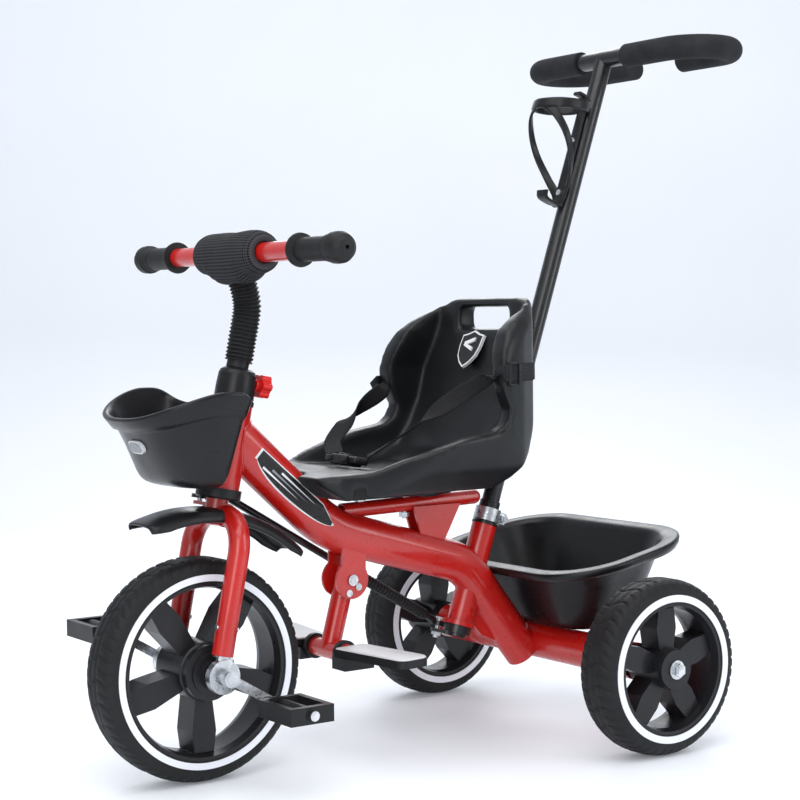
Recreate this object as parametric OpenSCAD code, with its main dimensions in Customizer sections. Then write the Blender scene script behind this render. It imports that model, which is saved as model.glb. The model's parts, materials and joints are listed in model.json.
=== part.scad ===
// Children's tricycle with a parent push handle.
// +X is the rider's left, +Y runs to the rear, +Z is up. The origin is on the
// floor, below the middle of the bounding box.

/* [Wheels] */
// Outer radius of the front tyre
front_r = 125; // [123:1:127]
// Outer radius of the rear tyres
rear_r = 103; // [102:1:104]
// Width of the front tyre
front_w = 56; // [50:1:58]
// Width of each rear tyre
rear_w = 54; // [50:1:54]
// Distance between the front and rear axles
wheelbase = 489; // [487:1:491]
// Distance between the middles of the rear tyres
track = 446; // [446:2:452]
// Length of each pedal crank, axle to pedal pin
crank_len = 66; // [60:1:68]

/* [Frame] */
// Width of the oval main beam
beam_w = 42; // [38:1:44]
// Height of the oval main beam
beam_h = 54; // [52:1:56]
// Outer radius of the head tube
head_r = 22.5; // [22:0.5:23]
// Outer radius of the rear axle tube
axle_tube_r = 22; // [20:0.5:22.5]
// Outer radius of the seat rail
rail_r = 9; // [8:0.5:10]

/* [Steering] */
// Backward lean of the steering axis, in degrees
head_tilt = 11.5; // [11.5:0.5:11.5]
// Radius of the fork leg tubes
leg_r = 12; // [10:0.5:12.5]
// Half the distance between the fork leg tubes
leg_x = 54; // [53:1:55]
// Height of the handlebar tube's middle
bar_z = 586; // [580:1:592]
// Radius of the handlebar tube
bar_r = 11; // [10:0.5:11]
// Half the overall length of the handlebar, grips included
bar_half = 229; // [215:1:235]

/* [Push handle] */
// Backward lean of the push post, in degrees
post_tilt = 19; // [19:0.5:19]
// Radius of the push post
post_r = 11; // [10.5:0.1:11]
// Distance along the post axis from floor level to the push bar
post_top = 888; // [880:1:896]
// Radius of the foam sleeves on the push bar
foam_r = 15; // [13.5:0.5:15.5]

/* [Footrest] */
// Length of each foot pad
pad_len = 116; // [110:1:120]
// Front-to-back depth of each foot pad
pad_w = 44; // [36:1:46]

/* [Hidden] */
$fn = 48;

y_mid = 296.5;                   // middle of the box, measured from the front axle
head_y = -32;                    // steering axis at floor level
post_y = 319;                    // push post axis at floor level
red = [0.78, 0.07, 0.05];
black = [0.09, 0.09, 0.10];
steel = [0.75, 0.76, 0.78];
white = [0.93, 0.94, 0.98];

// --- helpers ---------------------------------------------------------------
module place() { translate([0, -y_mid, 0]) children(); }
module on_head() { place() translate([0, head_y, 0]) rotate([-head_tilt, 0, 0]) children(); }
module on_post() { place() translate([0, post_y, 0]) rotate([-post_tilt, 0, 0]) children(); }
// world (y, z) to the steering frame's (y, s)
function to_head(y, z) = [(y - head_y) * cos(head_tilt) - z * sin(head_tilt),
                          (y - head_y) * sin(head_tilt) + z * cos(head_tilt)];
ax = to_head(0, front_r);        // front axle in the steering frame
module ring(ro, ri) { difference() { circle(ro); circle(ri); } }
// oval tube section, w wide and h high
module oval(w, h) { square([w, h - w], center = true); for (s = [-1, 1]) translate([0, s * (h - w) / 2]) circle(w / 2); }
module oval_ring(w, h, t) { difference() { oval(w, h); oval(w - 2 * t, h - 2 * t); } }
// a rod along X
module rodx(r, x0, x1) { translate([x0, 0, 0]) rotate([0, 90, 0]) cylinder(r = r, h = x1 - x0); }
// one bend of the section given as child, starting along +Z and turning about X
module bend(r, a) {
  s = a > 0 ? 1 : -1;
  translate([0, s * r, 0]) multmatrix([[0, 0, -s, 0], [-s, 0, 0, 0], [0, 1, 0, 0], [0, 0, 0, 1]])
    rotate_extrude(angle = abs(a)) translate([r, 0]) rotate(90) children();
}
function dir_a(p, q) = atan2(q[0] - p[0], q[1] - p[1]);
function r3(v) = round(v * 1000) / 1000;
module chain(len_, ang, rad, i = 0) {
  linear_extrude(len_[i]) children();
  if (i < len(ang)) translate([0, 0, len_[i]]) {
    s = ang[i] > 0 ? 1 : -1;
    bend(rad[i], ang[i]) children();
    translate([0, s * rad[i], 0]) rotate([-ang[i], 0, 0]) translate([0, -s * rad[i], 0]) chain(len_, ang, rad, i + 1) children();
  }
}
function dirs(pts) = [for (i = [0:len(pts) - 2]) dir_a(pts[i], pts[i + 1])];
function tans(a, rads) = concat([0], [for (i = [0:len(rads) - 1]) rads[i] * tan(abs(a[i + 1] - a[i]) / 2)], [0]);
// the section given as child, run along a path of (y, z) points with rounded bends
module run(pts, rads) {
  n = len(pts);
  a = dirs(pts);
  t = n > 2 ? tans(a, rads) : [0, 0];
  translate([0, r3(pts[0][0]), r3(pts[0][1])]) rotate([-a[0], 0, 0])
    chain([for (i = [0:n - 2]) r3(norm(pts[i + 1] - pts[i]) - t[i] - t[i + 1])],
      n > 2 ? [for (i = [0:n - 3]) r3(a[i + 1] - a[i])] : [], rads) children();
}
// oval tube swept along such a path: one smooth solid, w wide and h0 high at the start, h1 at the end
function stations(pts, rads, m) = let (a = dirs(pts), t = tans(a, rads), n = len(pts)) concat([[pts[0], a[0]]],
  [for (i = [1:n - 2]) let (d = [sin(a[i - 1]), cos(a[i - 1])], s = a[i] > a[i - 1] ? 1 : -1, r = rads[i - 1],
    c = pts[i] - t[i] * d + s * r * [cos(a[i - 1]), -sin(a[i - 1])])
    for (j = [0:m]) let (b = a[i - 1] + j / m * (a[i] - a[i - 1])) [c - s * r * [cos(b), -sin(b)], b]], [[pts[n - 1], a[n - 2]]]);
function oval_pts(w, h, k) = [for (q = [0:2 * k + 1]) let (top = q <= k, g = (top ? q : q - k - 1) * 180 / k + (top ? 0 : 180))
  [w / 2 * cos(g), (top ? 1 : -1) * (h - w) / 2 + w / 2 * sin(g)]];
module sweep(pts, rads, w, h0, h1) {
  st = stations(pts, rads, 7); k = 9; n = len(st); m = 2 * k + 2;
  v = [for (i = [0:n - 1]) let (h = h0 + (h1 - h0) * i / (n - 1)) for (o = oval_pts(w, h, k))
    [o[0], st[i][0][0] + o[1] * cos(st[i][1]), st[i][0][1] - o[1] * sin(st[i][1])]];
  polyhedron(v, concat([[for (q = [0:m - 1]) q]], [[for (q = [m - 1:-1:0]) (n - 1) * m + q]],
    [for (i = [0:n - 2], q = [0:m - 1], f = [0, 1]) let (a = i * m + q, b = i * m + (q + 1) % m, c = a + m, d = b + m) f == 0 ? [a, c, b] : [b, c, d]]));
}
// hexagon head or nut, along +Z
module hex(r, h) { cylinder(r = r, h = h, $fn = 6); }

// --- frame weldment ----------------------------------------------------------
beam_pts = [[45, 387], [176, 267], [372, 210.7], [466, 90]];
beam_rads = [150, 70];
head_s0 = 331; head_s1 = 426;
module head_tube() color(red) difference() {
  on_head() translate([0, 0, head_s0]) linear_extrude(head_s1 - head_s0) ring(head_r, 17);
  for (s = [350, 408]) on_head() translate([0, -head_r - 5, s]) rotate([-90, 0, 0]) cylinder(r = 2.6, h = 15);
}
module beam_solid(g = 0) { place() sweep(beam_pts, beam_rads, beam_w + 2 * g, beam_h + 2 * g, beam_h - 7 + 2 * g); }
module main_beam() color(red) difference() {
  beam_solid();
  intersection() {
    beam_solid(-2.2);
    place() translate([-50, 60, 60]) cube([100, 330, 320]);
  }
  on_head() translate([0, 0, 250]) cylinder(r = head_r, h = 250);
  on_post() translate([0, 0, 120]) cylinder(r = 15.5, h = 220);
  place() translate([0, wheelbase, rear_r]) rodx(axle_tube_r, -100, 100);
}
module rear_axle_tube() color(red) place() translate([0, wheelbase, rear_r]) {
  translate([-186, 0, 0]) rotate([0, 90, 0]) linear_extrude(372) ring(axle_tube_r, axle_tube_r - 2.5);
}
module post_socket() color(red) {
  on_post() translate([0, 0, 146]) linear_extrude(124) ring(15.5, 12.8);
  on_post() translate([0, 0, 142]) linear_extrude(5) ring(19, 12.8);
  // gusset from the socket foot to the axle tube
  difference() {
    place() translate([-2, 0, 0]) rotate([90, 0, 90]) linear_extrude(4)
      polygon([[378, 142], [408, 165], [432, 150], [474, 96], [474, 88], [400, 118]]);
    on_post() translate([0, 0, 120]) cylinder(r = 15.5, h = 180);
    beam_solid();
    place() translate([0, wheelbase, rear_r]) rodx(axle_tube_r, -100, 100);
  }
}
rail_a = [196, 287]; rail_b = [391, 291.2];
rail_tilt = dir_a(rail_a, rail_b);
rail_len = r3(norm(rail_b - rail_a));
module at_rail() { place() translate([0, rail_a[0], rail_a[1]]) rotate([-rail_tilt, 0, 0]) children(); }
module seat_rail() color(red) difference() {
  at_rail() {
    linear_extrude(rail_len) ring(rail_r, rail_r - 2);
    translate([0, 0, rail_len - 2]) rotate_extrude() polygon([[0, 0], [rail_r - 1, 0], [rail_r - 1, 2], [rail_r, 2], [rail_r - 1, 5], [rail_r - 3, 7.5], [0, 9]]);
  }
  for (y = [222, 286]) place() translate([0, y, 270]) cylinder(r = 3.1, h = 40);
}
module seat_bracket() color(red) difference() {
  place() for (x = [-11.5, 8.5]) translate([x, 0, 0]) rotate([90, 0, 90]) linear_extrude(3)
    polygon([[292, 286], [362, 286], [336, 240], [306, 240]]);
  beam_solid();
  at_rail() cylinder(r = rail_r, h = rail_len);
}
piv = [200, 207];               // footrest pivot
module hinge_plate() {
  difference() {
    rotate([90, 0, 90]) linear_extrude(3) union() {
      circle(22.3);
      polygon([[-14, 0], [-12, 62], [20, 62], [19, 8]]);
    }
    translate([-1, 0, 0]) rodx(4.05, 0, 5);
    translate([-1, 8, -8.5]) rodx(3.1, 0, 5);
    translate([-1, -5, -15]) rodx(3.1, 0, 5);
  }
}
module footrest_hinge_plates() color(red) difference() {
  place() for (x = [13.2, -16.2]) translate([x, piv[0], piv[1]]) hinge_plate();
  beam_solid();
}
module hinge_pins() color(steel) place() translate([0, piv[0], piv[1]]) {
  rodx(4, -20, 20);
  rodx(6.5, 16.3, 19); 
  rodx(6.5, -19.6, -16.3);
  for (p = [[8, -8.5], [-5, -15]]) translate([0, p[0], p[1]]) { rodx(3.05, 13.2, 16.2); rodx(4.2, 16.2, 18); }
}
module bearing_cups() color(black) on_head() {
  translate([0, 0, 319]) rotate_extrude() polygon([[12.8, 0], [24, 0], [25.6, 2], [25.6, 12], [17, 12], [17, 24], [12.8, 24]]);
  translate([0, 0, head_s1]) rotate_extrude() polygon([[12.8, -12], [17, -12], [17, 0], [23.5, 0], [23.5, 5], [22, 6.5], [12.8, 6.5]]);
}

// --- front basket --------------------------------------------------------------
// corner circles of the basket outline at one level: half width w, front yf, rear yr
module basket_ring(w, yf, yr, z, h) {
  rf = min(46, (yr - yf) / 2 - 2);
  for (s = [-1, 1]) {
    translate([s * (w - 22), yr - 22, z]) cylinder(r = 22, h = h, $fn = 32);
    translate([s * (w - rf), yf + rf * 1.35, z]) cylinder(r = rf, h = h, $fn = 32);
    translate([s * w * 0.28, yf + rf, z]) cylinder(r = rf, h = h, $fn = 32);
  }
}
module fb_outer(g) hull() { basket_ring(67 + g, -42 - g, 7 + g * 0.2, 328, 1); basket_ring(93 + g, -87 - g, 27.5 + g * 0.1, 439, 1); }
module fb_inner() hull() { basket_ring(64.5, -39.5, 4.5, 331, 1); basket_ring(90.5, -84.5, 24.5, 441, 1); }
module fb_top(r) translate([-150, -15, 434 - 152]) rodx(r, 0, 300);
module front_basket() color(black) place() difference() {
  union() {
    intersection() { fb_outer(0); fb_top(152); }
    intersection() { fb_outer(4); difference() { fb_top(152); fb_top(136); } translate([-150, -150, 380]) cube([300, 300, 80]); }
    for (s = [350, 408]) translate([0, head_y, 0]) rotate([-head_tilt, 0, 0]) translate([0, -33, s]) rotate([-90, 0, 0]) cylinder(r = 9, h = 10.2);
  }
  fb_inner();
  translate([0, head_y, 0]) rotate([-head_tilt, 0, 0]) translate([0, 0, 316]) cylinder(r = 26, h = 15.5);
  for (s = [350, 408]) translate([0, head_y, 0]) rotate([-head_tilt, 0, 0]) translate([0, -50, s]) rotate([-90, 0, 0]) cylinder(r = 2.6, h = 60);
}
module basket_screws() color(steel) for (s = [350, 408]) on_head() translate([0, -33, s]) rotate([-90, 0, 0]) {
  cylinder(r = 2.5, h = 16);
  translate([0, 0, -2.8]) cylinder(r = 5, h = 2.8);
}

// --- rear axle -------------------------------------------------------------------
module at_rear() { place() translate([0, wheelbase, rear_r]) children(); }
module rear_axle() color(steel) at_rear() rodx(5, -263, 263);
module axle_end_plugs() color(black) at_rear() for (s = [-1, 1]) mirror([s < 0 ? 1 : 0, 0, 0])
  translate([174, 0, 0]) rotate([0, 90, 0]) linear_extrude(14) ring(axle_tube_r - 2.5, 5);
module axle_nuts() color(steel) at_rear() for (s = [-1, 1]) mirror([s < 0 ? 1 : 0, 0, 0])
  difference() { translate([256.3, 0, 0]) rotate([0, 90, 0]) hex(8, 5.5); rodx(5, 250, 265); }
module axle_washers() color(steel) at_rear() for (s = [-1, 1]) mirror([s < 0 ? 1 : 0, 0, 0])
  translate([254.8, 0, 0]) rotate([0, 90, 0]) linear_extrude(1.4) ring(11, 5);

// --- seat ------------------------------------------------------------------------
seat_side = [[119, 334], [127, 323], [145, 309], [175, 300], [300, 299.5], [332, 304], [366, 322], [393, 350], [414, 392],
  [429, 440], [440, 500], [440, 531], [434, 535], [410, 535], [396, 521], [372, 508], [355, 494], [342, 470],
  [337, 446], [341, 424], [351, 402], [345, 388], [330, 379], [290, 373], [250, 362], [212, 352], [176, 339], [143, 337]];
seat_front = [[-76, 299], [76, 299], [101, 312], [117, 335], [127, 368], [131, 400], [130, 450], [122, 484], [108, 508], [86, 526],
  [66, 534], [58, 536], [-58, 536], [-66, 534], [-86, 526], [-108, 508], [-122, 484], [-130, 450], [-131, 400], [-127, 368], [-117, 335], [-101, 312]];
seat_plan = [[-66, 117], [66, 117], [86, 140], [104, 190], [120, 240], [131, 290], [131, 344], [119, 376], [102, 404], [70, 428], [40, 440],
  [-40, 440], [-70, 428], [-102, 404], [-119, 376], [-131, 344], [-131, 290], [-120, 240], [-104, 190], [-86, 140]];
seat_cavity = [[90, 420], [108, 349], [150, 352], [190, 338], [260, 333], [310, 337], [345, 352], [368, 380], [384, 410],
  [396, 460], [406, 500], [408, 560], [90, 560]];
cavity_front = [[-84, 330], [84, 330], [100, 356], [105, 400], [104, 450], [92, 484], [80, 540], [-80, 540], [-92, 484],
  [-104, 450], [-105, 400], [-100, 356]];
module seat_shell() color(black) place() difference() {
  intersection() {
    translate([-140, 0, 0]) rotate([90, 0, 90]) linear_extrude(280) polygon(seat_side);
    translate([0, 500, 0]) rotate([90, 0, 0]) linear_extrude(500) polygon(seat_front);
    translate([0, 0, 290]) linear_extrude(260) polygon(seat_plan);
  }
  intersection() {
    translate([-140, 0, 0]) rotate([90, 0, 90]) linear_extrude(280) polygon(seat_cavity);
    translate([0, 500, 0]) rotate([90, 0, 0]) linear_extrude(500) polygon(cavity_front);
  }
  // carrying slot through the top of the back
  translate([-50, 380, 497]) cube([100, 90, 27]);
  // hollows above the seat bolts
  for (y = [222, 286]) translate([0, y, 280]) cylinder(r = 3.1, h = 45);
  for (y = [222, 286]) translate([0, y, 322]) cylinder(r = 9, h = 40);
  // clear of the main beam
  translate([0, y_mid, 0]) beam_solid(0.5);
  // hollow underside, with a boss left round each bolt
  difference() {
    translate([-94, 158, 295]) cube([188, 196, 29]);
    for (y = [222, 286]) translate([0, y, 290]) cylinder(r = 17, h = 40);
    for (x = [-52, 48]) translate([x, 150, 290]) cube([4, 220, 40]);
  }
}
module seat_bolts() color(steel) place() for (y = [222, 286]) translate([0, y, 0]) {
  z = 287 + (y - 196) * 0.02153;
  low = y < 250 ? z + 4 : z - rail_r - 8;
  translate([0, 0, low]) cylinder(r = 3, h = 322.5 - low);
  translate([0, 0, 322.2]) cylinder(r = 7, h = 4);
  if (y > 250) difference() { translate([0, 0, z - rail_r - 6]) hex(6.5, 5.2); translate([0, 0, z - rail_r - 9]) cylinder(r = 3, h = 12); }
  difference() { translate([0, 0, z + rail_r + 0.3]) cylinder(r = 7, h = 299.2 - z - rail_r - 0.3); translate([0, 0, z]) cylinder(r = 3, h = 30); }
}
module harness_straps() color(black) place() {
  // lap strap halves, from the back of the seat round each wing to the buckle
  for (s = [-1, 1]) {
    hull() { translate([s * 107.4, 352, 411]) cube([1.6, 18, 18], center = true); translate([s * 101.5, 300, 375]) cube([1.6, 22, 18], center = true); }
    hull() { translate([s * 101.5, 300, 375]) cube([1.6, 22, 18], center = true); translate([s * 78, 236, 356]) cube([1.6, 22, 20], center = true); }
    hull() { translate([s * 78, 236, 356]) cube([1.6, 22, 20], center = true); translate([s * 33, 205, 349]) cube([1.6, 24, 16], center = true); }
  }
}
module harness_buckle() color(black) place() {
  translate([-31.5, 190, 343]) cube([63, 28, 13]);
}

// --- rear basket ---------------------------------------------------------------------
module rb_corners(w, y0, y1, r, z, h) for (s = [-1, 1], y = [y0 + r, y1 - r]) translate([s * (w - r), y, z]) cylinder(r = r, h = h, $fn = 32);
module rb_outer() hull() { rb_corners(96, 478, 566, 30, 126, 1); rb_corners(156, 424, 612, 46, 256, 1); }
module rb_inner() hull() { rb_corners(93, 481, 563, 28, 129, 1); rb_corners(153.5, 426.5, 609.5, 44, 258, 1); }
module rb_lip() hull() { rb_corners(158, 432, 620, 50, 190, 1); rb_corners(175, 416, 634, 50, 256, 1); }
module rb_above(d) translate([-220, 430, 207 + d]) rotate([atan(0.205), 0, 0]) translate([0, -120, 0]) cube([440, 420, 160]);
module rear_basket() color(black) place() difference() {
  union() {
    difference() { rb_outer(); rb_above(0); }
    difference() { rb_lip(); rb_above(0); translate([0, 0, -12]) difference() { translate([-300, 300, 0]) cube([600, 500, 400]); rb_above(0); } }
  }
  rb_inner();
  translate([0, post_y, 0]) rotate([-post_tilt, 0, 0]) cylinder(r = 17.5, h = 400);
  translate([0, y_mid, 0]) beam_solid(0.5);
  for (x = [-60, 60]) translate([x, wheelbase, 110]) cylinder(r = 3.1, h = 30);
}
module rear_basket_bolts() color(steel) place() for (x = [-60, 60]) translate([x, wheelbase, 0])
  difference() { union() { translate([0, 0, 125.2]) cylinder(r = 3, h = 5); translate([0, 0, 129.3]) cylinder(r = 7, h = 3.2); } }

// --- fork ------------------------------------------------------------------------------
arch_s = 262; arch_r = 40;
module half_fork() {
  // one leg and its bend, in the steering frame
  translate([leg_x, ax[0], ax[1] + 22]) linear_extrude(arch_s - ax[1] - 22) ring(leg_r, leg_r - 2);
  translate([leg_x, ax[0], arch_s]) rotate([0, 0, 90]) bend(arch_r, 90) ring(leg_r, leg_r - 2);
}
module fork_left_leg() color(red) on_head() half_fork();
module fork_right_leg() color(red) on_head() mirror([1, 0, 0]) half_fork();
module fork_crown() color(red) on_head() {
  difference() {
    union() {
      translate([-(leg_x - arch_r), ax[0], arch_s + arch_r]) rotate([0, 90, 0]) cylinder(r = leg_r + 1.5, h = 2 * (leg_x - arch_r));
      cylinder_at(12.7, 300, 462);
      // side lug for the steering rod
      translate([-40, -7, 309.5]) cube([40, 14, 4]);
      translate([-40, 0, 309.5]) cylinder(r = 7, h = 4);
    }
    translate([0, 0, 322]) cylinder(r = 10.08, h = 160);
    translate([-40, 0, 300]) cylinder(r = 3.05, h = 30);
    // cup clears the steerer only, so the lug stays under it
  }
}
module cylinder_at(r, s0, s1) translate([0, 0, s0]) cylinder(r = r, h = s1 - s0);
module axle_housings() color(steel) on_head() for (s = [-1, 1]) mirror([s < 0 ? 1 : 0, 0, 0]) difference() {
  union() {
    translate([0, ax[0], ax[1]]) rodx(19, 57, 67);
    translate([57.2, ax[0] - 9, ax[1] + 8]) cube([5, 18, 13.8]);
    translate([leg_x, ax[0], ax[1] + 20]) cylinder(r = leg_r - 2.02, h = 16);
  }
  translate([0, ax[0], ax[1]]) rodx(6.06, 40, 80);
}
module fork_screws() color(steel) on_head() for (s = [-1, 1]) translate([s * leg_x, ax[0], ax[1] + 52]) {
  for (t = [-1, 1]) translate([0, t * (leg_r + 0.02), 0]) rotate([t > 0 ? -90 : 90, 0, 0]) cylinder(r = 3, h = 1.8);
}
mg_r = 181;
module mudguard() color(black) place() translate([0, 0, front_r]) difference() {
  union() {
    rotate([0, 90, 0]) rotate([0, 0, 133.5]) rotate_extrude(angle = 70) mg_section(17);
  }
  // clearance for the fork crown and legs
  translate([0, 0, -front_r]) translate([0, head_y, 0]) rotate([-head_tilt, 0, 0]) {
    translate([0, 0, 150]) cylinder(r = 15, h = 200);
    for (s = [-1, 1]) { translate([s * leg_x, ax[0], 150]) cylinder(r = leg_r + 0.6, h = 112);
      translate([s * (leg_x - arch_r), ax[0], arch_s]) rotate([90, 0, 0]) cylinder(r = 0.1, h = 0.1); }
    for (s = [0, 180]) rotate([0, 0, s]) translate([leg_x, s == 0 ? ax[0] : -ax[0], arch_s]) rotate([0, 0, 90]) bend(arch_r, 90) circle(leg_r + 0.6);
    translate([-leg_x, ax[0], arch_s + arch_r]) rotate([0, 90, 0]) cylinder(r = leg_r + 2.6, h = 2 * leg_x);
  }
}
// section of the mudguard: radius along x, width along y
module mg_section(d) difference() {
  polygon([[mg_r, -22], [mg_r, 22], [mg_r - 3, 29], [mg_r - 9, 33], [mg_r - d, 34], [mg_r - d, -34], [mg_r - 9, -33], [mg_r - 3, -29]]);
  polygon([[mg_r - 2.6, -20], [mg_r - 2.6, 20], [mg_r - 5.4, 27], [mg_r - 10, 30.6], [mg_r - d - 1, 31.4], [mg_r - d - 1, -31.4], [mg_r - 10, -30.6], [mg_r - 5.4, -27]]);
}
module rod_front_bolt() color(steel) on_head() translate([-40, 0, 0]) {
  translate([0, 0, 309.5]) cylinder(r = 3, h = 18.5);
  difference() { translate([0, 0, 324]) hex(5.5, 3); translate([0, 0, 315]) cylinder(r = 3, h = 20); }
}
module lock_collar() color(black) on_head() difference() {
  translate([0, 0, 433.2]) rotate_extrude() polygon([[12.75, 0], [22.5, 0], [22.3, 14], [21.4, 27], [19.8, 31], [16, 33.6], [11.1, 33.6], [11.1, 29.4], [12.75, 29.4]]);
  translate([0, 0, 452]) rotate([-90, 0, 0]) cylinder(r = 3.1, h = 40);
}

// --- handlebar ------------------------------------------------------------------------------
bar_c = to_head(60, bar_z);     // handlebar middle in the steering frame
stem_pts = [[0, 380], [0, 538], [bar_c[0], bar_c[1] - 2]];
module stem_tube() color(black) difference() {
  on_head() run(stem_pts, [46]) ring(10, 8);
  place() translate([0, 60, bar_z]) rodx(bar_r, -40, 40);
}
bell_pts = [[0, 467.2], [0, 538], [bar_c[0] * 0.62, bar_c[1] - 22]];
module stem_bellows() color(black) on_head() {
  // smooth neck, then ribs along the straight part, then the bend
  translate([0, 0, 467.2]) rotate_extrude() polygon(concat([[10, 0], [12.6, 0], [12.6, 10]],
    [for (i = [0:8]) each [[16.6, 11 + i * 5], [16.6, 13 + i * 5], [14.2, 14 + i * 5], [14.2, 15.5 + i * 5]]], [[14.2, 59.5], [10, 59.5]]));
  run([[0, 526.7], [0, 538], [bar_c[0] * 0.7, 538 + (bar_c[1] - 2 - 538) * 0.7]], [46]) ring(16.2, 10);
}
module handlebar_tube() color(red) place() translate([0, 60, bar_z]) translate([-bar_half + 16, 0, 0]) rotate([0, 90, 0])
  linear_extrude(2 * bar_half - 32) ring(bar_r, bar_r - 2);
module bar_pad() color(black) place() difference() {
  union() {
    translate([0, 60, bar_z]) rodx(25, -62, 62);
    intersection() {
      translate([-46, 38, bar_z - 34]) cube([92, 46, 34]);
      translate([0, 60, bar_z + 30]) rotate([-head_tilt, 0, 0]) translate([-60, -30, -68]) cube([120, 60, 60]);
    }
  }
  translate([0, 60, bar_z]) rodx(bar_r, -80, 80);
  translate([0, head_y, 0]) rotate([-head_tilt, 0, 0]) translate([0, 0, 538]) rotate([-dir_a([0, 538], [bar_c[0], bar_c[1] - 2]), 0, 0]) translate([0, 0, -20]) cylinder(r = 17.5, h = 78);
}
module hand_grips() color(black) place() translate([0, 60, bar_z]) for (s = [-1, 1]) mirror([s < 0 ? 1 : 0, 0, 0])
  translate([136, 0, 0]) rotate([0, 90, 0]) rotate_extrude()
    polygon([[bar_r, 0], [18, 0], [18.6, 2], [18, 5], [13.2, 7], [13.2, 58], [14.6, 60], [14.6, 62], [13.4, 63], [15.4, 65], [15.4, 67], [14.2, 68],
      [16.6, 70], [17, 75], [16.6, 82], [14, 88], [9, bar_half - 137], [2.2, bar_half - 136], [2.2, bar_half - 146], [0, bar_half - 146], [0, bar_half - 152], [bar_r, bar_half - 152]]);
module lock_knob() color(red) on_head() translate([0, 0, 452]) rotate([-90, 0, 0]) {
  translate([0, 0, 14]) cylinder(r = 3, h = 16);
  translate([0, 0, 23]) cylinder(r = 7, h = 6);
  translate([0, 0, 28]) linear_extrude(12) union() { circle(11.5); for (i = [0:5]) rotate(i * 60) translate([10, 0]) circle(4); }
}

// --- wheels ----------------------------------------------------------------------------------
// section of a foam tyre: outer radius r, width w, bead radius b
module tyre(r, w, b) rotate([0, 90, 0]) rotate_extrude()
  polygon([[b, -w / 2 + 1], [b + 6, -w / 2], [r - 12, -w / 2], [r - 6, -w / 2 + 3], [r - 2, -w / 2 + 9], [r, -w / 2 + 17],
    [r, w / 2 - 17], [r - 2, w / 2 - 9], [r - 6, w / 2 - 3], [r - 12, w / 2], [b + 6, w / 2], [b, w / 2 - 1]]);
// moulded wheel: rim barrel, five paddle spokes and a stepped hub; a0 is the first spoke
module spoked(b, w, hub, a0, bore) difference() {
  rotate([0, 90, 0]) union() {
    // rim barrel
    rotate_extrude() difference() { translate([b - 8, -w / 2 + 1]) square([8, w - 2]); translate([b - 9, -w / 2 + 3]) polygon([[0, -3], [6, -3], [3, 8], [3, w - 14], [6, w - 3], [0, w - 3]]); }
    rotate_extrude() polygon(hub);
  }
  rodx(bore, -120, 120);
}
module spokes(b, r0, w, a0) for (i = [0:4]) rotate([a0 + i * 72, 0, 0])
  difference() {
    translate([-w / 2, r0 - 5, 0]) rotate([0, 90, 0]) linear_extrude(w) polygon([[-10, 0], [10, 0], [15, b - r0 - 22], [12, b - r0 + 1], [-12, b - r0 + 1], [-15, b - r0 - 22]]);
  }
module rings(r0, r1, w) for (s = [-1, 1]) mirror([s < 0 ? 1 : 0, 0, 0]) translate([w / 2, 0, 0]) rotate([0, 90, 0]) linear_extrude(1) ring(r1, r0);
fb = front_r - 27; rbd = rear_r - 27;
module at_front() { place() translate([0, 0, front_r]) children(); }
module front_tyre() color(black) at_front() tyre(front_r, front_w, fb);
front_hub = [[0, -50], [17, -50], [17, -40], [24, -39], [24, -36], [31, -35], [31, -26], [33, -24], [33, 24], [31, 26], [31, 35], [24, 36], [24, 39], [17, 40], [17, 50], [0, 50]];
module front_wheel() color(black) at_front() {
  difference() {
    union() { spoked(fb, front_w, front_hub, 0, 6); spokes(fb - 3, 32, 36, -90); }
    rodx(6, -60, 60);
  }
}
module front_rings() color(white) at_front() rings(front_r - 24.4, front_r - 17, front_w);
module crank_axle() color(steel) at_front() {
  rodx(6, -84, 84);
  for (s = [0, 180]) rotate([s, 0, 0]) mirror([s > 0 ? 1 : 0, 0, 0]) rotate([-31, 0, 0]) {
    translate([74, 0, 0]) rodx(9, 0, 9);
    translate([75, 0, -5]) cube([7, crank_len, 10]);
    translate([74, crank_len, 0]) rodx(7.5, 0, 9);
    translate([80, crank_len, 0]) rodx(4, 0, 80);
    translate([157, crank_len, 0]) rodx(5.5, 0, 3);
  }
}
// one pedal: two long bars, end caps and a barrel round the pin
module pedal_body() difference() {
  union() {
    rodx(8, 84, 156);
    translate([86, -27, -9.5]) cube([7, 54, 19]);
    translate([147, -27, -9.5]) cube([8, 54, 19]);
    for (y = [-27, 20]) translate([86, y, -9.5]) cube([69, 7, 19]);
  }
  rodx(4.06, 70, 170);
}
module pedal_left() color(black) at_front() rotate([-31, 0, 0]) translate([0, crank_len, 0]) rotate([31, 0, 0]) pedal_body();
module pedal_right() color(black) at_front() rotate([-31, 0, 0]) translate([0, -crank_len, 0]) rotate([31, 0, 0]) mirror([1, 0, 0]) pedal_body();
rear_hub = [[0, -30], [16, -30], [20, -27], [24, -25], [24, 26], [23, 31], [0, 31.5]];
module rear_wheel() difference() {
  union() { spoked(rbd, rear_w, rear_hub, 0, 5.06); spokes(rbd - 3, 22, 30, 90); }
  rodx(5.06, -60, 60);
}
module rear_at(s) { place() translate([s * track / 2, wheelbase, rear_r]) mirror([s < 0 ? 1 : 0, 0, 0]) children(); }
module rear_tyre_left() color(black) rear_at(1) tyre(rear_r, rear_w, rbd);
module rear_wheel_left() color(black) rear_at(1) rear_wheel();
module rear_rings_left() color(white) rear_at(1) rings(rear_r - 25, rear_r - 17, rear_w);
module rear_tyre_right() color(black) rear_at(-1) tyre(rear_r, rear_w, rbd);
module rear_wheel_right() color(black) rear_at(-1) rear_wheel();
module rear_rings_right() color(white) rear_at(-1) rings(rear_r - 25, rear_r - 17, rear_w);

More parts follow.
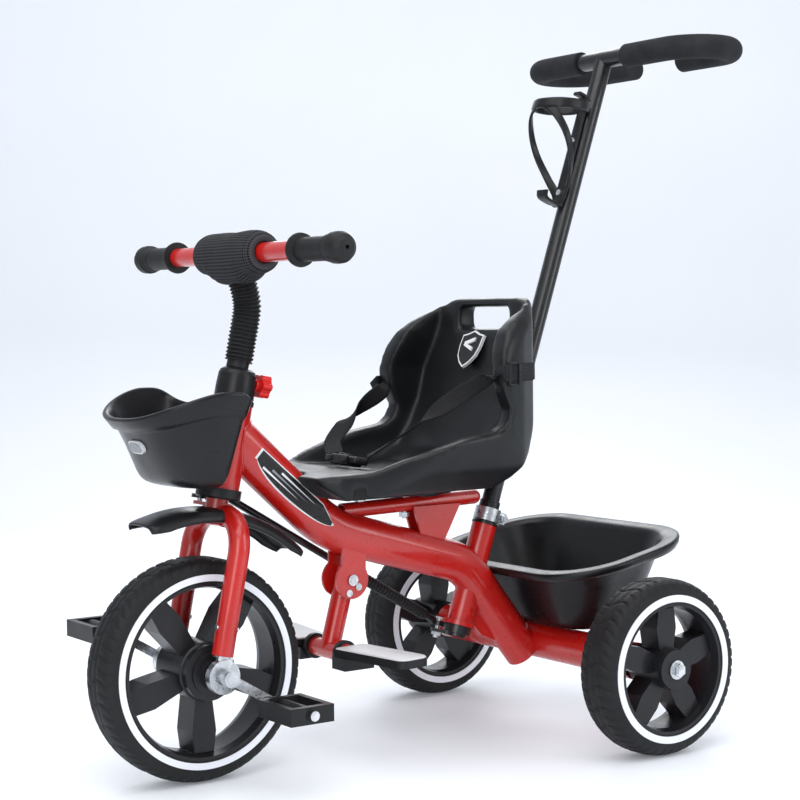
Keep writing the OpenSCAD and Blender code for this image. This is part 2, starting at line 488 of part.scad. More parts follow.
// --- footrest ------------------------------------------------------------------------------------
drop_a = 15.5;                   // lean of the drop tube
foot_c = [piv[0] - 84 * sin(drop_a), piv[1] - 84 * cos(drop_a)];
module footrest_frame() color(red) place() difference() {
  union() {
    translate([0, piv[0], piv[1]]) rotate([180 - drop_a, 0, 0]) translate([0, 0, -13]) cylinder(r = 11.8, h = 84 + 13);
    translate([0, foot_c[0], foot_c[1]]) rodx(11, -36, 36);
  }
  translate([0, piv[0], piv[1]]) rodx(4.06, -30, 30);
  translate([0, piv[0], piv[1]]) rotate([180 - drop_a, 0, 0]) translate([0, 0, 14]) cylinder(r = 9.8, h = 50);
}
module pad_at(s) { mirror([s < 0 ? 1 : 0, 0, 0]) translate([37, foot_c[0] + 2, foot_c[1] - 1]) rotate([0, 0, 8]) children(); }
module foot_pads() color(black) place() for (s = [-1, 1]) pad_at(s)
  linear_extrude(9) union() { translate([0, -pad_w / 2]) square([pad_len - 12, pad_w]); translate([pad_len - 12, -pad_w / 2 + 12]) square([12, pad_w - 24]);
    for (t = [-1, 1]) translate([pad_len - 12, t * (pad_w / 2 - 12)]) circle(12); }
module pad_brackets() color(black) place() for (s = [-1, 1]) mirror([s < 0 ? 1 : 0, 0, 0]) difference() {
  union() {
    translate([0, foot_c[0], foot_c[1]]) rodx(15, 29, 34.9);
    translate([34.5, 0, 0]) rotate([90, 0, 90]) linear_extrude(27.5) translate([foot_c[0] - 19, foot_c[1] - 15]) square([40, 14]);
  }
  translate([0, foot_c[0], foot_c[1]]) rodx(11, -40, 36);
}

// --- push post and handle ------------------------------------------------------------------------
module post_sleeve() color([0.25, 0.25, 0.27]) {
  on_post() {
    translate([0, 0, 128]) linear_extrude(172) ring(12.7, 11.08);
    translate([0, 0, 132]) linear_extrude(9.6) ring(17, 12.6);
    translate([0, 0, 270.3]) linear_extrude(3) ring(16.2, 12.6);
    difference() {
      union() { translate([-40, -8, 128]) cube([40, 16, 4]); translate([-40, 0, 128]) cylinder(r = 8, h = 4); }
      translate([0, 0, 120]) cylinder(r = 12.6, h = 20);
      translate([-40, 0, 120]) cylinder(r = 3.05, h = 20);
    }
  }
}
module post_clamp() color(steel) on_post() difference() {
  union() {
    translate([0, 0, 275]) cylinder(r = 16, h = 16);
    translate([-7, 8, 276]) cube([14, 17, 14]);
  }
  translate([0, 0, 270]) cylinder(r = 12.7, h = 40);
  translate([-1.2, 8, 270]) cube([2.4, 30, 40]);
  translate([0, 19, 283]) rodx(3.1, -20, 20);
}
module sleeve_bolts() color(steel) on_post() {
  translate([0, 19, 283]) { rodx(3, -12, 15); rodx(5, 7.1, 13); difference() { translate([-11.4, 0, 0]) rotate([0, 90, 0]) hex(5.5, 4.3); rodx(3, -20, 20); } }
  translate([-40, 0, 0]) { translate([0, 0, 121]) cylinder(r = 3, h = 25); translate([0, 0, 124]) difference() { hex(6, 3.9); translate([0, 0, -1]) cylinder(r = 3, h = 8); } translate([0, 0, 143.5]) hex(5.5, 3.5); }
}
module push_post() color(black) on_post() difference() {
  translate([0, 0, 150]) linear_extrude(post_top - 150) ring(post_r, post_r - 1.6);
  translate([0, 0, post_top]) rodx(post_r, -40, 40);
  for (s = [700, 770]) translate([0, -20, s]) rotate([-90, 0, 0]) cylinder(r = 2.05, h = 20);
}
handle_y = post_y + post_top * sin(post_tilt);
handle_z = post_top * cos(post_tilt);
loop_x = 112; loop_r = 47;
module at_bar() { place() translate([0, handle_y, handle_z]) children(); }
// half of the C-shaped bar, from x0 on the front run round to x1 on the return run
module half_loop(x0, x1) {
  rotate([0, 90, 0]) translate([0, 0, x0]) linear_extrude(loop_x - x0) children();
  translate([loop_x, loop_r, 0]) rotate([0, 0, -90]) rotate_extrude(angle = 180) translate([loop_r, 0]) children();
  translate([0, 2 * loop_r, 0]) rotate([0, 90, 0]) translate([0, 0, x1]) linear_extrude(loop_x - x1) children();
}
module handle_bar() color(black) at_bar() for (s = [-1, 1]) mirror([s < 0 ? 1 : 0, 0, 0]) half_loop(0, 50) ring(11, 9.4);
module handle_foams() color(black) at_bar() for (s = [-1, 1]) mirror([s < 0 ? 1 : 0, 0, 0]) {
  half_loop(44, 50) ring(foam_r, 11);
  translate([46, 2 * loop_r, 0]) rodx(foam_r, 0, 4);
}
// bottle cage: spine, foot shelf, top tab and two arms round the bottle
module bottle_cage() color(black) on_post() difference() {
  union() {
    translate([-9, -16.4, 682]) cube([18, 5, 150]);
    translate([-11, -44, 682]) cube([22, 32.6, 5]);
    translate([-11, -44, 682]) cube([22, 3, 14]);
    translate([-12, -31, 828]) cube([24, 19, 4]);
    translate([0, -47.6, 792]) linear_extrude(14) ring(36, 33.4);
    for (s = [-1, 1]) hull() { translate([s * 33 - 1.5, -56, 794]) cube([3, 14, 6]); translate([s * 8 - 1.5, -20, 700]) cube([3, 8, 10]); }
  }
  for (s = [700, 770]) translate([0, -30, s]) rotate([-90, 0, 0]) cylinder(r = 2.05, h = 30);
}
module cage_screws() color(steel) on_post() for (s = [700, 770]) translate([0, -18.9, s]) rotate([-90, 0, 0]) { cylinder(r = 2, h = 8.8); cylinder(r = 4, h = 2.4); }

// --- steering rod -----------------------------------------------------------------------------------
rod_b = [post_y + 139 * sin(post_tilt), 139 * cos(post_tilt)];
rod_a = [head_y + 318.5 * sin(head_tilt), 318.5 * cos(head_tilt)];
rod_k = [66, rod_a[1] - 3];
module tie_rod() color(black) {
  place() translate([-40, 0, 0]) run([[rod_a[0] + 8, rod_a[1] - 0.6], rod_k, [rod_b[0] - 7, rod_b[1] + 4.6]], [9]) circle(4.5);
  on_post() translate([-40, 0, 136]) linear_extrude(6) ring(9, 3.08);
  on_head() translate([-40, 0, 316.6]) linear_extrude(4.4) ring(10, 5.2);
}
rod_u = (rod_b + [-7, 4.6] - rod_k) / norm(rod_b + [-7, 4.6] - rod_k);
module rod_cover() color(black) place() translate([-40, 0, 0]) {
  a = dir_a(rod_k, rod_b + [-7, 4.6]);
  L = norm(rod_b + [-7, 4.6] - rod_k);
  p = rod_k + rod_u * (L - 152);
  translate([0, p[0], p[1]]) rotate([-a, 0, 0]) rotate_extrude()
    polygon(concat([[4.5, 0], [6.2, 0]], [for (i = [0:26]) each [[7, 1 + i * 5], [7, 3.4 + i * 5], [6, 4 + i * 5], [6, 5.4 + i * 5]]], [[6, 137], [4.5, 137]]));
}

head_tube();
main_beam();
rear_axle_tube();
post_socket();
seat_rail();
seat_bracket();
footrest_hinge_plates();
hinge_pins();
bearing_cups();
front_basket();
basket_screws();
rear_axle();
axle_end_plugs();
axle_nuts();
axle_washers();
seat_shell();
seat_bolts();
harness_straps();
harness_buckle();
rear_basket();
rear_basket_bolts();
fork_left_leg();
fork_right_leg();
fork_crown();
axle_housings();
fork_screws();
mudguard();
rod_front_bolt();
lock_collar();
stem_tube();
stem_bellows();
handlebar_tube();
bar_pad();
hand_grips();
lock_knob();
front_tyre();
front_wheel();
front_rings();
crank_axle();
pedal_left();
pedal_right();
rear_tyre_left();
rear_wheel_left();
rear_rings_left();
rear_tyre_right();
rear_wheel_right();
rear_rings_right();
footrest_frame();
foot_pads();
pad_brackets();
post_sleeve();
post_clamp();
sleeve_bolts();
push_post();
handle_bar();
handle_foams();
bottle_cage();
cage_screws();
tie_rod();
rod_cover();
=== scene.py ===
import json
import math

import bmesh
import bpy
import numpy as np
from mathutils import Matrix, Vector


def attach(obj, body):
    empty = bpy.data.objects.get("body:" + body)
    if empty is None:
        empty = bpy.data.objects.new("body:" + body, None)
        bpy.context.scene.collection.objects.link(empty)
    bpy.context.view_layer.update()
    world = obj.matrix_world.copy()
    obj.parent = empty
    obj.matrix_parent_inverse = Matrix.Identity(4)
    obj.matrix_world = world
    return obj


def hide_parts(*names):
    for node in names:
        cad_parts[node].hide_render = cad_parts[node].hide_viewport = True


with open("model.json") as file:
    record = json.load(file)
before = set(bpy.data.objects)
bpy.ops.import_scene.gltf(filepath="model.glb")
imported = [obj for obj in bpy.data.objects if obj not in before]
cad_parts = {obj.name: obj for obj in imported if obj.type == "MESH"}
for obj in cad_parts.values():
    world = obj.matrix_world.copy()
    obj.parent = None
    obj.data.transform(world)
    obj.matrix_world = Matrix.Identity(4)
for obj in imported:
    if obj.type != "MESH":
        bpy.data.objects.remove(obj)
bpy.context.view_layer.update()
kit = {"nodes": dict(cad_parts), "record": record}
nodes = kit["nodes"]
YM = 296.5


def P(x, y, z):
    """A point in tricycle millimetres (front axle at y = 0) as row-frame metres."""
    return Vector((x / 1000.0, (y - YM) / 1000.0, z / 1000.0))


# ---------------------------------------------------------------- materials
def base_mat(name, color, rough, metal=0.0, coat=0.0, coat_rough=0.1, spec=0.5):
    m = bpy.data.materials.new(name)
    m.use_nodes = True
    nt = m.node_tree
    b = nt.nodes["Principled BSDF"]
    b.inputs["Base Color"].default_value = (*color, 1)
    b.inputs["Roughness"].default_value = rough
    b.inputs["Metallic"].default_value = metal
    b.inputs["Coat Weight"].default_value = coat
    b.inputs["Coat Roughness"].default_value = coat_rough
    b.inputs["Specular IOR Level"].default_value = spec
    return m, nt, b


def coords(nt, scale=(1, 1, 1)):
    tc = nt.nodes.new("ShaderNodeTexCoord")
    mp = nt.nodes.new("ShaderNodeMapping")
    mp.inputs["Scale"].default_value = scale
    nt.links.new(tc.outputs["Object"], mp.inputs["Vector"])
    return mp.outputs["Vector"]


def noise(nt, vec, scale, detail=3.0):
    n = nt.nodes.new("ShaderNodeTexNoise")
    n.inputs["Scale"].default_value = scale
    n.inputs["Detail"].default_value = detail
    nt.links.new(vec, n.inputs["Vector"])
    return n.outputs["Fac"]


def ramp(nt, fac, a, b, p0=0.3, p1=0.7):
    r = nt.nodes.new("ShaderNodeMapRange")
    r.inputs["From Min"].default_value = p0
    r.inputs["From Max"].default_value = p1
    r.inputs["To Min"].default_value = a
    r.inputs["To Max"].default_value = b
    nt.links.new(fac, r.inputs["Value"])
    return r.outputs["Result"]


def mixc(nt, fac, c1, c2):
    m = nt.nodes.new("ShaderNodeMix")
    m.data_type = "RGBA"
    m.inputs["A"].default_value = (*c1, 1)
    m.inputs["B"].default_value = (*c2, 1)
    nt.links.new(fac, m.inputs["Factor"])
    return m.outputs["Result"]


def bump(nt, b, height, strength, dist=0.0005):
    n = nt.nodes.new("ShaderNodeBump")
    n.inputs["Strength"].default_value = strength
    n.inputs["Distance"].default_value = dist
    nt.links.new(height, n.inputs["Height"])
    nt.links.new(n.outputs["Normal"], b.inputs["Normal"])


def paint(name, color, dark, coat=0.8):
    m, nt, b = base_mat(name, color, 0.3, coat=coat, coat_rough=0.06)
    v = coords(nt)
    nt.links.new(mixc(nt, ramp(nt, noise(nt, v, 14), 0, 1), dark, color), b.inputs["Base Color"])
    nt.links.new(ramp(nt, noise(nt, v, 60), 0.24, 0.4), b.inputs["Roughness"])
    bump(nt, b, noise(nt, v, 420, 1), 0.06)
    return m


def plastic(name, color, rough, grain=900, strength=0.16, var=0.3):
    m, nt, b = base_mat(name, color, rough, spec=0.29)
    v = coords(nt)
    light = tuple(min(1, c * (1 + var) + 0.003) for c in color)
    nt.links.new(mixc(nt, ramp(nt, noise(nt, v, 9), 0, 1), color, light), b.inputs["Base Color"])
    nt.links.new(ramp(nt, noise(nt, v, 30), rough - 0.06, rough + 0.08), b.inputs["Roughness"])
    bump(nt, b, noise(nt, v, grain, 2), strength, 0.0003)
    return m


def zinc_mat():
    m, nt, b = base_mat("zinc", (0.6, 0.62, 0.64), 0.32, metal=1.0)
    v = coords(nt)
    vo = nt.nodes.new("ShaderNodeTexVoronoi")
    vo.inputs["Scale"].default_value = 160
    nt.links.new(v, vo.inputs["Vector"])
    nt.links.new(mixc(nt, vo.outputs["Color"], (0.5, 0.52, 0.54), (0.74, 0.76, 0.79)), b.inputs["Base Color"])
    nt.links.new(ramp(nt, noise(nt, v, 200), 0.22, 0.45), b.inputs["Roughness"])
    bump(nt, b, noise(nt, v, 500), 0.08)
    return m


def foam_mat(name, color=(0.016, 0.016, 0.018), scale=1500, strength=0.5, rough=0.9):
    m, nt, b = base_mat(name, color, rough, spec=0.25)
    v = coords(nt)
    vo = nt.nodes.new("ShaderNodeTexVoronoi")
    vo.inputs["Scale"].default_value = scale
    nt.links.new(v, vo.inputs["Vector"])
    nt.links.new(mixc(nt, ramp(nt, noise(nt, v, 40), 0, 1), color, tuple(c * 1.7 for c in color)), b.inputs["Base Color"])
    bump(nt, b, vo.outputs["Distance"], strength, 0.0006)
    return m


def waves(nt, v, scale, direction, profile="SIN"):
    w = nt.nodes.new("ShaderNodeTexWave")
    w.wave_type = "BANDS"
    w.bands_direction = direction
    w.wave_profile = profile
    w.inputs["Scale"].default_value = scale
    nt.links.new(v, w.inputs["Vector"])
    return w.outputs["Fac"]


def math_node(nt, op, a, b):
    n = nt.nodes.new("ShaderNodeMath")
    n.operation = op
    nt.links.new(a, n.inputs[0])
    if isinstance(b, (int, float)):
        n.inputs[1].default_value = b
    else:
        nt.links.new(b, n.inputs[1])
    return n.outputs[0]


def uv_vec(nt, scale):
    tc = nt.nodes.new("ShaderNodeTexCoord")
    mp = nt.nodes.new("ShaderNodeMapping")
    mp.inputs["Scale"].default_value = scale
    nt.links.new(tc.outputs["UV"], mp.inputs["Vector"])
    return mp.outputs["Vector"]


def knit_mat():
    """Spacer-mesh cloth: rows of small open holes. UV is in metres."""
    m, nt, b = base_mat("pad_mesh", (0.02, 0.02, 0.022), 0.85, spec=0.2)
    v = uv_vec(nt, (1, 1, 1))
    vo = nt.nodes.new("ShaderNodeTexVoronoi")
    vo.inputs["Scale"].default_value = 290
    vo.inputs["Randomness"].default_value = 0.0
    nt.links.new(v, vo.inputs["Vector"])
    hole = ramp(nt, vo.outputs["Distance"], 0, 1, 0.22, 0.42)
    # painted shade: the open holes are coloured near black; the same mask also drives the bump
    nt.links.new(mixc(nt, hole, (0.002, 0.002, 0.002), (0.05, 0.05, 0.055)), b.inputs["Base Color"])
    bump(nt, b, hole, 1.0, 0.0012)
    return m


def web_mat():
    m, nt, b = base_mat("webbing", (0.02, 0.02, 0.022), 0.8, spec=0.25)
    v = uv_vec(nt, (1, 1, 1))
    h = math_node(nt, "MULTIPLY", waves(nt, v, 150, "X"), waves(nt, v, 210, "Y"))
    # painted shade: darker in the grooves between the woven ribs, lighter on their crests; the same mask also drives
    # the bump
    nt.links.new(mixc(nt, h, (0.006, 0.006, 0.007), (0.045, 0.045, 0.05)), b.inputs["Base Color"])
    bump(nt, b, h, 0.8, 0.0008)
    return m


M = {
    "red_paint": paint("red_paint", (0.58, 0.010, 0.006), (0.47, 0.007, 0.004), coat=0.6),
    "black_paint": paint("black_paint", (0.010, 0.010, 0.012), (0.007, 0.007, 0.008), coat=0.15),
    "zinc": zinc_mat(),
    "black_plastic": plastic("black_plastic", (0.008, 0.008, 0.009), 0.36),
    # foot_pad_plastic is pale grey: a painted reflection standing in for the sheen on the black pads' glossy tops
    "foot_pad_plastic": plastic("foot_pad_plastic", (0.62, 0.63, 0.65), 0.35),
    "red_plastic": plastic("red_plastic", (0.62, 0.012, 0.010), 0.3, strength=0.05, var=0.1),
    "tyre_foam": plastic("tyre_foam", (0.008, 0.008, 0.009), 0.6, grain=1400, strength=0.35),
    "white_ring": plastic("white_ring", (0.82, 0.84, 0.90), 0.35, strength=0.05, var=0.05),
    "rubber": plastic("rubber", (0.008, 0.008, 0.009), 0.5, grain=1300, strength=0.25),
    "foam": foam_mat("foam"),
    "pad_fabric": knit_mat(),
    "webbing": web_mat(),
}
wheel_mat = plastic("wheel_plastic", (0.011, 0.011, 0.013), 0.3, strength=0.08)
seat_mat = plastic("seat_plastic", (0.007, 0.008, 0.009), 0.34, grain=1100, strength=0.2)
basket_mat = plastic("basket_plastic", (0.006, 0.006, 0.007), 0.3, grain=1000, strength=0.05)
decal_black = plastic("decal_black", (0.012, 0.012, 0.013), 0.3, strength=0.02)
decal_white = plastic("decal_white", (0.75, 0.76, 0.78), 0.3, strength=0.02, var=0.05)
decal_grey = plastic("decal_grey", (0.25, 0.26, 0.28), 0.3, strength=0.02, var=0.1)

slot_of = {s["node"]: s["material_slot"] for s in kit["record"]["subparts"]}
for name, ob in nodes.items():
    mat = M[slot_of[name]]
    if name in ("front_wheel", "rear_wheel_left", "rear_wheel_right"):
        mat = wheel_mat
    if name == "foot_pads":
        mat = M["black_plastic"]
    ob.data.materials.clear()
    ob.data.materials.append(mat)


# ---------------------------------------------------------------- mesh helpers
def make(name, verts, faces, mat, body, replaces=(), slot=None, uv=None, smooth=True):
    me = bpy.data.meshes.new(name)
    me.from_pydata([tuple(v) for v in verts], [], faces)
    me.validate()
    if uv is not None:
        layer = me.uv_layers.new(name="UVMap")
        for loop in me.loops:
            layer.data[loop.index].uv = uv[loop.vertex_index]
    me.update()
    bm = bmesh.new()
    bm.from_mesh(me)
    bmesh.ops.recalc_face_normals(bm, faces=bm.faces)
    bm.to_mesh(me)
    bm.free()
    me.materials.append(mat)
    if smooth:
        for p in me.polygons:
            p.use_smooth = True
    ob = bpy.data.objects.new(name, me)
    bpy.context.scene.collection.objects.link(ob)
    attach(ob, body)
    if replaces:
        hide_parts(*replaces)
    return ob


def grid_faces(n, m, close_u=False, close_v=True):
    """Quads of an n by m grid of rings: m points a ring, n rings."""
    f = []
    for i in range(n if close_u else n - 1):
        for j in range(m if close_v else m - 1):
            a = i * m + j
            b = i * m + (j + 1) % m
            c = ((i + 1) % n) * m + (j + 1) % m
            d = ((i + 1) % n) * m + j
            f.append((a, b, c, d))
    return f


def auto_edges(ob, angle=35):
    """Sharp shading only across real corners."""
    me = ob.data
    bm = bmesh.new()
    bm.from_mesh(me)
    lim = math.radians(angle)
    for e in bm.edges:
        if len(e.link_faces) == 2:
            e.smooth = e.calc_face_angle(0) < lim
    bm.to_mesh(me)
    bm.free()


def smooth_path(pts, n):
    """Catmull-Rom through points, n samples, evenly spaced."""
    p = [np.array(q, float) for q in pts]
    p = [2 * p[0] - p[1]] + p + [2 * p[-1] - p[-2]]
    out = []
    for i in range(1, len(p) - 2):
        for t in np.linspace(0, 1, 24, endpoint=False):
            a, b, c, d = p[i - 1], p[i], p[i + 1], p[i + 2]
            out.append(0.5 * (2 * b + (c - a) * t + (2 * a - 5 * b + 4 * c - d) * t * t + (3 * b - a - 3 * c + d) * t ** 3))
    out.append(p[-2])
    out = np.array(out)
    s = np.concatenate([[0], np.cumsum(np.linalg.norm(np.diff(out, axis=0), axis=1))])
    u = np.linspace(0, s[-1], n)
    return np.stack([np.interp(u, s, out[:, k]) for k in range(out.shape[1])], 1), s[-1]


def tube_mesh(name, path, radius, mat, body, seg=40, caps=True, **kw):
    """Round tube along a path of mm points lying in planes of constant x; radius(i, n) in mm."""
    n = len(path)
    verts, uv = [], []
    s = 0
    for i in range(n):
        a = path[max(0, i - 1)]
        b = path[min(n - 1, i + 1)]
        t = (b - a) / np.linalg.norm(b - a)
        side = np.array([1.0, 0, 0]) if abs(t[0]) < 0.9 else np.array([0, 0, 1.0])
        up = np.cross(t, side)
        up /= np.linalg.norm(up)
        side = np.cross(up, t)
        r = radius(i, n)
        if i:
            s += np.linalg.norm(path[i] - path[i - 1])
        for k in range(seg):
            g = 2 * math.pi * k / seg
            q = path[i] + r * (math.cos(g) * side + math.sin(g) * up)
            verts.append(P(*q))
            uv.append((k / seg * 2 * math.pi * r / 1000, s / 1000))
    faces = grid_faces(n, seg)
    if caps:
        faces += [tuple(range(seg)), tuple((n - 1) * seg + k for k in range(seg))]
    return make(name, verts, faces, mat, body, uv=uv, **kw)


# ---------------------------------------------------------------- main beam, smooth oval tube with weld beads
def beam_path():
    pts = [(45, 387), (176, 267), (372, 210.7), (466, 90)]
    rads = [150, 70]
    a = [math.atan2(pts[i + 1][0] - pts[i][0], pts[i + 1][1] - pts[i][1]) for i in range(3)]
    out = [(np.array(pts[0], float), a[0])]
    for i in (1, 2):
        r = rads[i - 1]
        t = r * math.tan(abs(a[i] - a[i - 1]) / 2)
        d = np.array([math.sin(a[i - 1]), math.cos(a[i - 1])])
        s = 1 if a[i] > a[i - 1] else -1
        c = np.array(pts[i]) - t * d + s * r * np.array([math.cos(a[i - 1]), -math.sin(a[i - 1])])
        for j in range(25):
            b = a[i - 1] + j / 24 * (a[i] - a[i - 1])
            out.append((c - s * r * np.array([math.cos(b), -math.sin(b)]), b))
    out.append((np.array(pts[3], float), a[2]))
    return out


BW, BH = 42.0, 54.0


def oval_point(g, w, h):
    c, s = math.cos(g), math.sin(g)
    return w / 2 * c, (h - w) / 2 * (1 if s > 0 else -1 if s < 0 else 0) + w / 2 * s


def make_beam():
    st = beam_path()
    # resample by length
    cen = np.array([q[0] for q in st])
    ang = np.array([q[1] for q in st])
    s = np.concatenate([[0], np.cumsum(np.linalg.norm(np.diff(cen, axis=0), axis=1))])
    u = np.linspace(0, s[-1], 140)
    cy, cz, ca = np.interp(u, s, cen[:, 0]), np.interp(u, s, cen[:, 1]), np.interp(u, s, ang)
    seg = 64
    verts = []
    for i in range(len(u)):
        h = BH - 7 * u[i] / s[-1]
        for k in range(seg):
            g = 2 * math.pi * (k + 0.5) / seg
            x, v = oval_point(g, BW, h)
            verts.append(P(x, cy[i] + v * math.cos(ca[i]), cz[i] - v * math.sin(ca[i])))
    faces = grid_faces(len(u), seg)
    ob = make("beam_tube", verts, faces, M["red_paint"], "frame", replaces=("main_beam",), slot="red_paint")
    return (u, s, cy, cz, ca)


beam = make_beam()


def beam_at(length, off, out):
    """Point on the beam's left side: length along it, off across it, out proud of it, in mm."""
    u, s, cy, cz, ca = beam
    y, z, a = np.interp(length, u, cy), np.interp(length, u, cz), np.interp(length, u, ca)
    h = BH - 7 * length / s[-1]
    w = BW / 2 + out
    flat = (h - BW) / 2
    if abs(off) <= flat:
        x, v = w, off
    else:
        g = (abs(off) - flat) / (BW / 2)
        x, v = w * math.cos(g), (flat + w * math.sin(g)) * (1 if off > 0 else -1)
    return x, y + v * math.cos(a), z - v * math.sin(a)


def decal(name, outline, mat, body="frame", out=0.25, side=1):
    """A thin patch on the beam's side. outline gives (low, high) offsets for a length."""
    l0, l1, fn = outline
    n, m = 40, 10
    verts = []
    for i in range(n):
        ln = l0 + (l1 - l0) * i / (n - 1)
        a, b = fn(ln)
        for j in range(m):
            x, y, z = beam_at(ln, a + (b - a) * j / (m - 1), out)
            verts.append(P(side * x, y, z))
    ob = make(name, verts, grid_faces(n, m, close_v=False), mat, body)
    return ob


for side, tag in ((1, "l"), (-1, "r")):
    def body_shape(ln, k=1.0):
        t = (ln - 38) / 132
        top = 15 * math.sin(math.pi * min(1, max(0.02, t)) ** 0.75) ** 0.55
        return -(9 + 5 * t) * k * min(1, (1 - t) * 5 + 0.02), top * k
    decal("decal_rim_" + tag, (37, 171, lambda l: body_shape(l, 1.0)), decal_white, out=0.2, side=side)
    decal("decal_field_" + tag, (40, 167, lambda l: tuple(0.86 * q for q in body_shape(l, 1.0))), decal_black, out=0.35, side=side)
    for q in range(3):
        c0 = 52 + q * 12
        decal("decal_stripe_%s%d" % (tag, q), (c0, c0 + 62, lambda l, c0=c0, q=q: (7 - q * 5.2 - 0.02 * (l - c0) - 1.4 * (1 - (l - c0) / 62), 7 - q * 5.2 - 0.02 * (l - c0) + 1.4 * (1 - (l - c0) / 62))), decal_grey if q == 1 else decal_white, out=0.5, side=side)


def ring_bead(name, pts, r, mat, body):
    """A weld bead: a rippled closed tube through mm points."""
    pts = [np.array(p, float) for p in pts]
    n = len(pts)
    verts = []
    for i in range(n):
        t = pts[(i + 1) % n] - pts[i - 1]
        t /= np.linalg.norm(t)
        a = np.cross(t, [0.3, 0.2, 0.93])
        a /= np.linalg.norm(a)
        b = np.cross(t, a)
        rr = r * (1 + 0.16 * math.sin(i * 2.1))
        for k in range(8):
            g = k * math.pi / 4
            verts.append(P(*(pts[i] + rr * (math.cos(g) * a + math.sin(g) * b))))
    return make(name, verts, grid_faces(n, 8, close_u=True), mat, body, slot="red_paint")


def head_junction():
    """Where the oval tube meets the round head tube."""
    out = []
    a = beam[4][0]
    d = np.array([math.sin(a), math.cos(a)])
    nrm = np.array([math.cos(a), -math.sin(a)])
    ax = np.array([math.sin(math.radians(11.5)), math.cos(math.radians(11.5))])
    per = np.array([ax[1], -ax[0]])
    for k in range(120):
        g = 2 * math.pi * k / 120
        x, v = oval_point(g, BW, BH)
        p0 = np.array([45, 387]) + v * nrm
        # march out of the head tube
        base = (p0 - np.array([-32, 0])) @ per
        step = d @ per
        need = math.sqrt(max(0.0, 22.5 ** 2 - x * x))
        t = (need - base) / step
        q = p0 + d * t
        out.append((x, q[0], q[1]))
    return out


ring_bead("weld_head", head_junction(), 1.7, M["red_paint"], "frame")


# ---------------------------------------------------------------- tyres with a scalloped tread
def tyre(name, node, r, w, bead, cx, cy, cz, body, blocks):
    prof = [(bead, -w / 2 + 1), (bead + 3, -w / 2 + 0.3), (bead + 8, -w / 2), (r - 17, -w / 2), (r - 12, -w / 2 + 0.6), (r - 8, -w / 2 + 2),
            (r - 5, -w / 2 + 4), (r - 3, -w / 2 + 7), (r - 1.6, -w / 2 + 10.5), (r - 0.6, -w / 2 + 14), (r, -w / 2 + 18)]
    xs = [q for q in prof] + [(r, x) for x in np.linspace(-w / 2 + 20, w / 2 - 20, 7)] + [(q[0], -q[1]) for q in reversed(prof)]
    n = 720
    verts = []
    for i in range(n):
        th = 2 * math.pi * i / n
        for (rad, x) in xs:
            g = 0.0
            if rad > r - 9:
                # zig-zag grooves across the tread, and scallops into the shoulder
                ph = (th * blocks / (2 * math.pi) + 0.18 * math.sin(x * 0.16)) % 1.0
                d = min(ph, 1 - ph) * 2 * math.pi * r / blocks
                g = 1.7 * max(0.0, 1 - (d / 2.2) ** 2)
                ph2 = (ph + 0.5) % 1.0
                d2 = min(ph2, 1 - ph2) * 2 * math.pi * r / blocks
                if abs(x) > w / 2 - 15:
                    g = max(g, 1.5 * max(0.0, 1 - (d2 / 2.2) ** 2))
                mid = abs(abs(x) - 6)
                g = max(g, 1.3 * max(0.0, 1 - (mid / 1.8) ** 2))
            verts.append(P(cx + x, cy + (rad - g) * math.cos(th), cz + (rad - g) * math.sin(th)))
    m = len(xs)
    ob = make(name, verts, grid_faces(n, m, close_u=True, close_v=True), M["tyre_foam"], body, replaces=(node,), slot="tyre_foam")
    auto_edges(ob, 50)
    return ob


tyre("tyre_front", "front_tyre", 125, 56, 98, 0, 0, 125, "front_wheel", 30)
tyre("tyre_rear_l", "rear_tyre_left", 103, 54, 76, 223, 489, 103, "rear_wheel_l", 25)
tyre("tyre_rear_r", "rear_tyre_right", 103, 54, 76, -223, 489, 103, "rear_wheel_r", 25)


# ---------------------------------------------------------------- seat: remeshed, softened copy of the solid
def soften(src, name, mat, body, voxel, rounds, factor=0.5):
    me = nodes[src].data.copy()
    ob = bpy.data.objects.new(name, me)
    bpy.context.scene.collection.objects.link(ob)
    ob.matrix_world = nodes[src].matrix_world
    bpy.context.view_layer.update()
    me.transform(ob.matrix_world)
    ob.matrix_world = Matrix.Identity(4)
    r = ob.modifiers.new("r", "REMESH")
    r.mode = "VOXEL"
    r.voxel_size = voxel
    s = ob.modifiers.new("s", "SMOOTH")
    s.iterations = rounds
    s.factor = factor
    dg = bpy.context.evaluated_depsgraph_get()
    new = bpy.data.meshes.new_from_object(ob.evaluated_get(dg))
    ob.modifiers.clear()
    ob.data = new
    new.materials.clear()
    new.materials.append(mat)
    for p in new.polygons:
        p.use_smooth = True
    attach(ob, body)
    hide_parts(src)
    return ob


seat = soften("seat_shell", "seat_moulding", seat_mat, "frame", 0.0028, 26)


# ---------------------------------------------------------------- baskets
def outline_front(w, yf, yr, n=160):
    """D-shaped plan: flat at the back, round at the front, in mm."""
    pts = []
    yc = yr - 22
    for k in range(n):
        g = 2 * math.pi * k / n
        c, s = math.cos(g), math.sin(g)
        if s >= 0:  # rear half: squared off
            e = 0.35
            x = w * abs(c) ** e * (1 if c > 0 else -1)
            y = yc + 22 * abs(s) ** 0.5
        else:
            x = w * abs(c) ** 0.78 * (1 if c > 0 else -1)
            y = yc - (yc - yf) * abs(s) ** 0.9
        pts.append((x, y))
    # even spacing round the loop
    q = np.array(pts + [pts[0]])
    L = np.concatenate([[0], np.cumsum(np.linalg.norm(np.diff(q, axis=0), axis=1))])
    u = np.linspace(0, L[-1], n, endpoint=False)
    return np.stack([np.interp(u, L, q[:, 0]), np.interp(u, L, q[:, 1])], 1)


